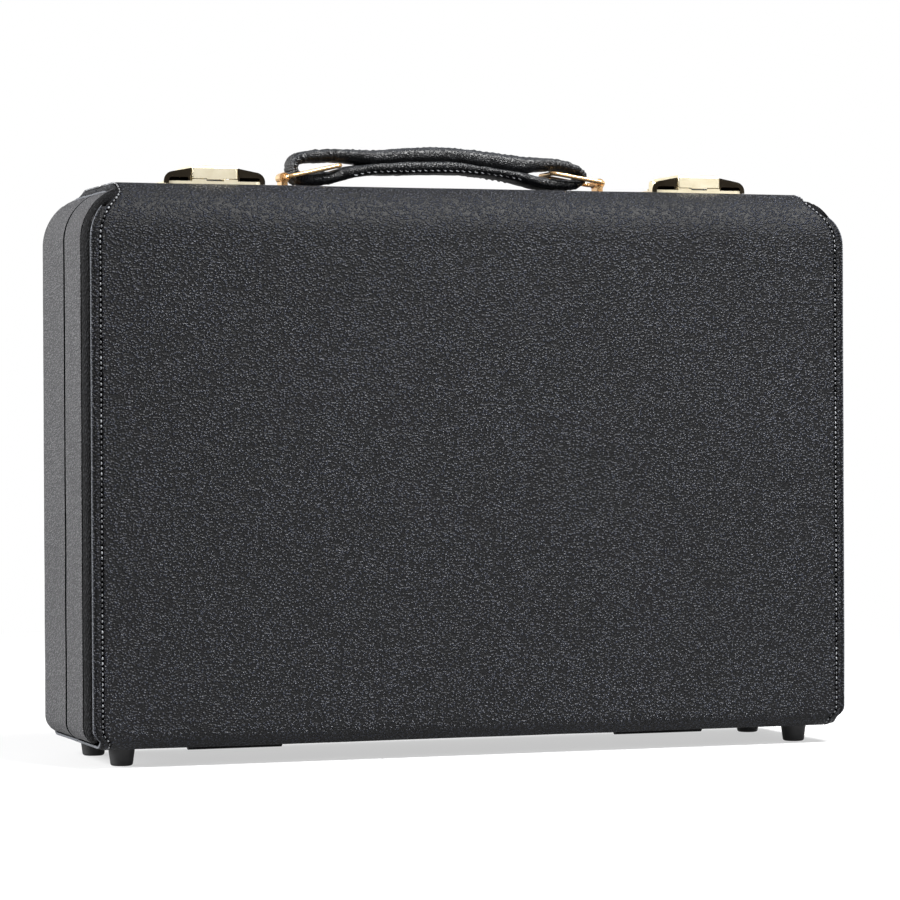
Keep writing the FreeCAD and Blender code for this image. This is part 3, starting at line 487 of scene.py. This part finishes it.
def mesh_object(name, verts, faces, mat, wear_and_painted_light=None):
    """A smooth-shaded mesh of these points in millimetres; wear_and_painted_light is a value for each point:
    worn pale edges and painted highlights above 0, painted shade below 0.
    """
    mesh = bpy.data.meshes.new(name)
    mesh.from_pydata([Vector(v) * MM for v in verts], [], faces)
    mesh.polygons.foreach_set("use_smooth", [True] * len(mesh.polygons))
    if wear_and_painted_light:
        layer = mesh.attributes.new("wear_and_painted_light", "FLOAT", "POINT")
        layer.data.foreach_set("value", wear_and_painted_light)
    mesh.materials.append(mat)
    mesh.validate()
    return link(bpy.data.objects.new(name, mesh))


def thicken(obj, thickness):
    solid = obj.modifiers.new("thickness", "SOLIDIFY")
    solid.thickness = thickness * MM
    solid.offset = -1.0


def grid_faces(rows, cols, loop=False):
    """The faces of a grid of points, closed both ways where it loops."""
    faces = []
    for i in range(rows if loop else rows - 1):
        for j in range(cols if loop else cols - 1):
            k, l = (i + 1) % rows, (j + 1) % cols
            faces.append((i * cols + j, k * cols + j, k * cols + l, i * cols + l))
    return faces


def thread(verts, faces, start, end, up, radius, sink):
    """One stitch: a short bowed thread whose ends go into the leather."""
    along = (end - start).normalized()
    side = along.cross(up).normalized()
    base = len(verts)
    for t, size in THREAD_RINGS:
        bow = radius * (1.0 - (2.0 * t - 1.0) ** 4) * 1.2
        centre = start.lerp(end, t) + up * (bow - sink - radius * 0.6)
        for k in range(THREAD_SIDES):
            angle = 2.0 * math.pi / THREAD_SIDES * k
            verts.append(centre + (side * math.cos(angle) + up * math.sin(angle)) * radius * size)
    for i in range(len(THREAD_RINGS) - 1):
        near = base + i * THREAD_SIDES
        far = near + THREAD_SIDES
        for k in range(THREAD_SIDES):
            l = (k + 1) % THREAD_SIDES
            faces.append((near + k, near + l, far + l, far + k))
    last = base + (len(THREAD_RINGS) - 1) * THREAD_SIDES
    faces.append(tuple(base + k for k in range(THREAD_SIDES))[::-1])
    faces.append(tuple(last + k for k in range(THREAD_SIDES)))


def stitch_line(verts, faces, points, pitch, length, radius, sink, slant=0.0):
    """Stitches at this pitch along (place, normal) points."""
    gone = 0.0
    aim = pitch / 2.0
    for (p, n), (q, m) in zip(points, points[1:]):
        step = (q - p).length
        while step > 0 and gone + step >= aim:
            t = (aim - gone) / step
            centre = p.lerp(q, t)
            up = n.lerp(m, t).normalized()
            along = (q - p).normalized()
            along = (along + along.cross(up) * slant).normalized()
            thread(verts, faces, centre - along * length / 2.0, centre + along * length / 2.0,
                   up, radius, sink)
            aim += pitch
        gone += step


def cover_edge(z):
    """Half the cover's width at this height, where its flange ends."""
    low, high = LOW + COVER_T + FLANGE_IN, HIGH - COVER_T - FLANGE_IN
    r_low, r_high = CORNER_LOW - FLANGE_IN, CORNER_HIGH - FLANGE_IN
    half = HALF - FLANGE_IN
    if z > high - r_high:
        over = min(z - (high - r_high), r_high)
        return soft_max(half - r_high + math.sqrt(r_high ** 2 - over ** 2), TOP_END, BLEND_HIGH)
    if z < low + r_low:
        under = min(low + r_low - z, r_low)
        return soft_max(half - r_low + math.sqrt(r_low ** 2 - under ** 2), LOW_END, BLEND_LOW)
    return half


def cover_rows(y_rim, y_face):
    """The wrap's side view: (y, z, outward y, outward z, sinking y, sinking z, on the rim)."""
    g = 1.0 if y_face > 0 else -1.0
    rows = []

    def straight(y0, z0, y1, z1, normal, step):
        count = max(int(math.hypot(y1 - y0, z1 - z0) / step), 1)
        for i in range(count):
            t = (i + 0.5) / count
            rows.append((y0 + (y1 - y0) * t, z0 + (z1 - z0) * t, *normal, *normal, 0))

    def arc(cy, cz, r, a0, a1, count, rim=None):
        for i in range(count + 1):
            a = math.radians(a0 + (a1 - a0) * i / count)
            n = (g * math.cos(a), math.sin(a))
            rows.append((cy + n[0] * r, cz + n[1] * r, *n, *(rim or n), 1 if rim else 0))

    down, up, rim_y = (0.0, -1.0), (0.0, 1.0), y_rim + g * RIM_ROUND
    rows.append((y_rim, LOW + RIM_LIP, -g, 0.0, *down, 1))
    arc(rim_y, LOW + RIM_ROUND, RIM_ROUND, -180.0, -90.0, 5, down)
    straight(rim_y, LOW, y_face - g * ROLL_LOW, LOW, down, UNDER_STEP)
    arc(y_face - g * ROLL_LOW, LOW + ROLL_LOW, ROLL_LOW, -90.0, 0.0, 9)
    straight(y_face, LOW + ROLL_LOW, y_face, HIGH - ROLL_HIGH, (g, 0.0), FACE_STEP)
    arc(y_face - g * ROLL_HIGH, HIGH - ROLL_HIGH, ROLL_HIGH, 0.0, 90.0, 18)
    straight(y_face - g * ROLL_HIGH, HIGH, rim_y, HIGH, up, FACE_STEP)
    arc(rim_y, HIGH - RIM_ROUND, RIM_ROUND, 90.0, 180.0, 5, up)
    rows.append((y_rim, HIGH - RIM_LIP, -g, 0.0, *up, 1))
    return rows


def cover_point(row, side, inward):
    """The cover's surface at this distance in from its end edge: flange, seam's groove and waves."""
    y, z, _, _, sy, sz, rim = row
    top = smoothstep(*TOP_ZONE, z)
    low = 1.0 - smoothstep(*LOW_ZONE, z)
    drop = DROP + DROP_TOP * top + DROP_LOW * low
    sink = drop * (1.0 - smoothstep(0.0, REACH + REACH_TOP * top, inward))
    x = side * (cover_edge(z) - inward)
    if not rim:
        sink += (GROOVE - GROOVE_TOP * top) * hill(inward, STITCH_IN, GROOVE_WIDTH)
        sink -= COVER_WAVES * noise.noise(Vector((x * 0.03, y * 0.04, z * 0.03 + 7.0)))
    return Vector((x, y - sy * sink, z - sz * sink))


def add_cover(half, y_rim, y_face, body):
    """A half's leather wrap, from rim to rim over the face, with its two seams."""
    rows = cover_rows(y_rim, y_face)
    shades = [sum(strength * hill(inward, place, width) for strength, place, width in COVER_SHADES)
              for inward in COVER_INS]
    verts, wear_and_painted_light = [], []
    for row in rows:
        edge = cover_edge(row[1])
        verts += [cover_point(row, -1.0, inward) for inward in COVER_INS]
        for i in range(1, COVER_MIDDLE):
            x = (edge - COVER_INS[-1]) * (2.0 * i / COVER_MIDDLE - 1.0)
            verts.append(cover_point(row, 1.0, edge - x))
        verts += [cover_point(row, 1.0, inward) for inward in reversed(COVER_INS)]
        wear_and_painted_light += shades + [0.0] * (COVER_MIDDLE - 1) + shades[::-1]
    faces = grid_faces(len(rows), 2 * len(COVER_INS) + COVER_MIDDLE - 1)
    if y_face < 0:
        faces = [f[::-1] for f in faces]
    cover = mesh_object(half + "_leather_wrap", verts, faces, mats["cover_leather"], wear_and_painted_light)
    thicken(cover, SHEET_T)
    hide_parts(half + "_cover")
    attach(cover, body)

    verts, faces = [], []
    flat_rows = [row for row in rows if not row[6]]
    for side in (-1.0, 1.0):
        line = [(cover_point(row, side, STITCH_IN), Vector((0.0, row[2], row[3]))) for row in flat_rows]
        stitch_line(verts, faces, line, *WRAP_STITCH)
    seam = mesh_object(half + "_wrap_stitches", verts, faces, mats["thread"])
    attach(seam, body)


def end_outline():
    """The case's end in front view, from under the cover's top down: (x, z, outward x, outward z)."""
    points = []

    def arc(cx, cz, r, a0, a1, count):
        for i in range(count + 1):
            a = math.radians(a0 + (a1 - a0) * i / count)
            points.append((cx + r * math.cos(a), cz + r * math.sin(a), math.cos(a), math.sin(a)))

    z0, z1 = HIGH - COVER_T - CORNER_HIGH, LOW + COVER_T + CORNER_LOW
    arc(HALF - CORNER_HIGH, z0, CORNER_HIGH, 78.0, 0.0, 36)
    count = int((z0 - z1) / END_STEP)
    points += [(HALF, z0 + (z1 - z0) * i / count, 1.0, 0.0) for i in range(1, count)]
    arc(HALF - CORNER_LOW, z1, CORNER_LOW, 0.0, -68.0, 18)
    return points


def roll_top(y, y_face):
    """The height of the case's rolled top edge at this depth."""
    into = max(ROLL_HIGH - abs(y_face - y), 0.0)
    return HIGH - ROLL_HIGH + math.sqrt(max(ROLL_HIGH ** 2 - into ** 2, 0.0))


def add_end(name, nodes, profile, y_face, side, body, slot):
    """An end leather: this (y, inward, shade) profile drawn round the end's outline."""
    outline = end_outline()
    verts, wear_and_painted_light = [], []
    for k, (x, z, nx, nz) in enumerate(outline):
        for y, inward, shade in profile:
            swell = END_WAVES * noise.noise(Vector((z * 0.035 + side * 9.0, y * 0.09, x * 0.05)))
            depth = inward - (swell if inward < WAVE_WITHIN else 0.0)
            pz = min(z - nz * depth, roll_top(y, y_face) - COVER_T + END_LIFT)
            verts.append((side * (x - nx * depth), y, pz))
            # Bottom rows painted black as shade of the gap under the end; the rest carry the profile's painted
            # shade
            wear_and_painted_light.append(-1.0 if k > len(outline) - END_DARK_ROWS else shade)
    faces = grid_faces(len(outline), len(profile))
    if (side > 0) != (profile[-1][0] > profile[0][0]):
        faces = [f[::-1] for f in faces]
    end = mesh_object(name, verts, faces, mats[slot], wear_and_painted_light)
    thicken(end, END_T)
    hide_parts(*nodes)
    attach(end, body)


def rounded_profile(rim, far, tuck):
    """(y, inward, shade) from the rim to the far edge, each given as (y, radius), both turned in; turned-in
    edges and rim round painted black as shade.
    """
    (y0, r0), (y1, r1) = rim, far
    g = 1.0 if y1 > y0 else -1.0
    out = [(y0, r0 + TURN_IN, -1.0), (y0, r0 + TURN_STRAIGHT, -1.0)]
    for i in range(NEAR_STEPS + 1):
        a = math.radians(90.0 * i / NEAR_STEPS)
        out.append((y0 + g * r0 * (1.0 - math.cos(a)), r0 * (1.0 - math.sin(a)), -1.0))
    a0, a1 = y0 + g * r0, y1 - g * r1
    count = max(int(abs(a1 - a0) / END_PITCH), 1)
    out.append((a0 + g * PARTING_NUDGE, 0.0, 0.1))
    out += [(a0 + (a1 - a0) * i / count, 0.0, 0.0) for i in range(1, count)]
    for i in range(FAR_STEPS + 1):
        a = math.radians(90.0 * i / FAR_STEPS)
        # A sharp far round is painted black from its middle on, as shade in the groove
        shade = -1.0 if 2 * i >= FAR_STEPS and r1 < SHARP else 0.0
        out.append((a1 + g * r1 * math.sin(a), r1 * (1.0 - math.cos(a)), shade))
    out.append((y1, r1 + tuck, -1.0))
    return out


def bead_profile():
    """(y, inward, painted shade) of the lid's rolled bead, from the end leather to under the flange, painted
    darker as it turns.
    """
    bead = list(BEAD_EDGE)
    for i in range(1, BEAD_STEPS + 1):
        degrees = 90.0 * i / BEAD_STEPS
        a = math.radians(degrees)
        y = BEAD_START[0] - BEAD_SIZE[0] * math.sin(a)
        inward = BEAD_START[1] + BEAD_SIZE[1] * (1.0 - math.cos(a))
        bead.append((y, inward, -smoothstep(*BEAD_DARK, degrees)))
    return bead + [BEAD_LAST]


def add_ends():
    for side, name in ((-1.0, "left"), (1.0, "right")):
        # The ends take the leather painted lit, the beads the leather painted in shade
        add_end("lid_end_leather_" + name, ["lid_end_" + name], rounded_profile(*LID_END),
                LID_FACE, side, "lid", "end_leather")
        add_end("lid_rolled_bead_" + name, ["lid_bead_" + name], bead_profile(),
                LID_FACE, side, "lid", "bead_leather")
        add_end("base_end_leather_" + name, ["base_end_" + name], rounded_profile(*BASE_END),
                BASE_FACE, side, "base", "end_leather")


def spline(stations, t):
    """A closed smooth curve through the stations, at t stations along."""
    count = len(stations)
    i = int(math.floor(t))
    u = t - i
    p = [stations[(i + k - 1) % count] for k in range(4)]
    return [0.5 * (2 * b + (c - a) * u + (2 * a - 5 * b + 4 * c - d) * u * u
                   + (3 * b - a - 3 * c + d) * u ** 3) for a, b, c, d in zip(*p)]


def signed_power(value, power):
    return math.copysign(abs(value) ** power, value)


def belt_point(t, angle):
    """The belt's skin and normal at this station and angle round its section, 90 degrees being outside."""
    ox, oz, ix, iz, width = spline(HANDLE_STATIONS, t)
    pressed = GRIP_PRESS * (1.0 - smoothstep(*GRIP_END, abs(ox)))
    iz -= math.copysign(pressed, oz - iz)
    across = Vector((ox - ix, 0.0, oz - iz))
    half = across.length / 2.0
    out = across.normalized()
    centre = Vector(((ox + ix) / 2.0, HANDLE_Y, (oz + iz) / 2.0))
    c, s = math.cos(angle), math.sin(angle)
    y = width / 2.0 * signed_power(c, ACROSS_POWER)
    r = half * signed_power(s, THROUGH_POWER)
    loop = smoothstep(*LOOP_START, abs(centre.x))
    if s > 0.0:
        r -= LOOP_GROOVE[0] * loop * hill(y, 0.0, LOOP_GROOVE[1])
        r -= EDGE_GROOVE[0] * hill(abs(y), width / 2.0 - EDGE_GROOVE_IN, EDGE_GROOVE[1])
    butt = hill(t, BUTT_SEAM, BUTT_WIDTH)
    r *= 1.0 - BUTT_DEPTH * butt
    y *= 1.0 - BUTT_NARROW * butt
    grain = noise.noise(Vector((t * 1.9, y * 0.16, r * 0.25)))
    fold = noise.noise(Vector((t * 4.2, y * 0.05, 3.0)))
    swell = BELT_FINE * grain + (BELT_FOLDS + LOOP_FOLDS * loop) * fold
    normal = Vector((0.0, signed_power(c, NORMAL_POWER) * half, 0.0))
    normal += out * signed_power(s, NORMAL_POWER) * width / 2.0
    normal.normalize()
    return centre + Vector((0.0, y, 0.0)) + out * r + normal * swell, normal


def add_handle():
    """The strap as one closed belt, with its four rows of stitches."""
    verts, wear_and_painted_light = [], []
    for i in range(BELT_ROWS):
        t = len(HANDLE_STATIONS) * i / BELT_ROWS
        for j in range(BELT_AROUND):
            angle = 2.0 * math.pi * (j + 0.5) / BELT_AROUND
            verts.append(belt_point(t, angle)[0])
            # Corners of the section and random patches painted paler
            corner = abs(math.sin(2.0 * angle)) ** 6
            wear_and_painted_light.append(0.16 * corner + 0.1 * max(noise.noise(Vector((t * 3.0, angle * 2.0, 1.0))), 0.0))
    faces = grid_faces(BELT_ROWS, BELT_AROUND, loop=True)
    belt = mesh_object("handle_belt", verts, faces, mats["handle_leather"], wear_and_painted_light)
    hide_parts("handle_strap")
    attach(belt, "handle")

    verts, faces = [], []
    for degrees, first, last, radius, sink in HANDLE_SEAMS:
        line = [belt_point(first + (last - first) * i / SEAM_STEPS, math.radians(degrees))
                for i in range(SEAM_STEPS + 1)]
        stitch_line(verts, faces, line, SEAM_PITCH, SEAM_LENGTH, radius, sink, SEAM_SLANT)
    seam = mesh_object("handle_stitches", verts, faces, mats["thread"])
    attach(seam, "handle")


def add_lid_pad():
    """The lid's padded board: crowned, with a soft rolled edge."""
    lo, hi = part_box("lid_pad")
    lo, hi = lo / MM, hi / MM
    half_x, half_z = (hi.x - lo.x) / 2.0, (hi.z - lo.z) / 2.0
    centre = (lo + hi) / 2.0

    def height(a, b):
        """The padding's height at this place, each side of the board being 1 from its middle."""
        swell = (1.0 - max(abs(a) ** 26, abs(b) ** 18)) ** 0.5
        crown = PAD_CROWN * (1.0 - a * a) * (1.0 - b * b)
        ripple = PAD_RIPPLE * noise.noise(Vector((a * 9.0, b * 6.0, 2.0)))
        return (hi.y - lo.y) * swell + (crown + ripple) * swell

    front, back = [], []
    for i in range(PAD_ROWS + 1):
        for j in range(PAD_COLS + 1):
            a, b = (math.sin((k / n - 0.5) * math.pi) for k, n in ((j, PAD_COLS), (i, PAD_ROWS)))
            x = centre.x + a * (1.0 - 0.018 * b ** 8) * half_x
            z = centre.z + b * (1.0 - 0.022 * a ** 8) * half_z
            front.append((x, lo.y + height(a, b), z))
            back.append((x, lo.y, z))
    grid = grid_faces(PAD_ROWS + 1, PAD_COLS + 1)
    faces = [f[::-1] for f in grid] + [tuple(len(front) + k for k in f) for f in grid]
    pad = mesh_object("lid_padding", front + back, faces, mats["plush"])
    work = bmesh.new()
    work.from_mesh(pad.data)
    bmesh.ops.remove_doubles(work, verts=work.verts, dist=PAD_MERGE * MM)
    bmesh.ops.recalc_face_normals(work, faces=work.faces)
    work.to_mesh(pad.data)
    work.free()
    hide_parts("lid_pad")
    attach(pad, "lid")


def add_bed():
    """The plush-covered bed as one soft-edged piece."""
    names = ("bed_rails", "bed_floors", "bed_board")
    mesh = bpy.data.meshes.new("bed_plush")
    work = bmesh.new()
    for name in names:
        work.from_mesh(frame["nodes"][name].data)
    work.to_mesh(mesh)
    work.free()
    bed = link(bpy.data.objects.new("bed_plush", mesh))
    remesh = bed.modifiers.new("skin", "REMESH")
    remesh.mode = "VOXEL"
    remesh.voxel_size = BED_VOXEL * MM
    smooth = bed.modifiers.new("soften", "SMOOTH")
    smooth.factor = BED_SMOOTHING
    smooth.iterations = BED_PASSES
    bpy.context.view_layer.update()
    soft = bpy.data.meshes.new_from_object(bed.evaluated_get(bpy.context.evaluated_depsgraph_get()))
    bed.modifiers.clear()
    bed.data = soft
    soft.name = "bed_plush"
    soft.materials.clear()
    soft.materials.append(mats["plush"])
    soft.polygons.foreach_set("use_smooth", [True] * len(soft.polygons))
    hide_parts(*names)
    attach(bed, "base")


def soften_edges():
    """Small rounds on the metal and rubber nodes, with even shading on their flat faces."""
    for name, obj in frame["nodes"].items():
        for start, width in EDGE_ROUNDS.items():
            if name.startswith(start):
                bevel = obj.modifiers.new("edge", "BEVEL")
                bevel.width = width * MM
                bevel.segments = EDGE_STEPS
                bevel.limit_method = "ANGLE"
                bevel.angle_limit = EDGE_ANGLE
                bevel.harden_normals = True


add_camera()
add_world()
add_floor()
for softbox in SOFTBOXES:
    add_light(*softbox)
dress_nodes()
soften_edges()
add_cover("lid", LID_RIM, LID_FACE, "lid")
add_cover("base", BASE_RIM, BASE_FACE, "base")
add_ends()
add_handle()
add_lid_pad()
add_bed()
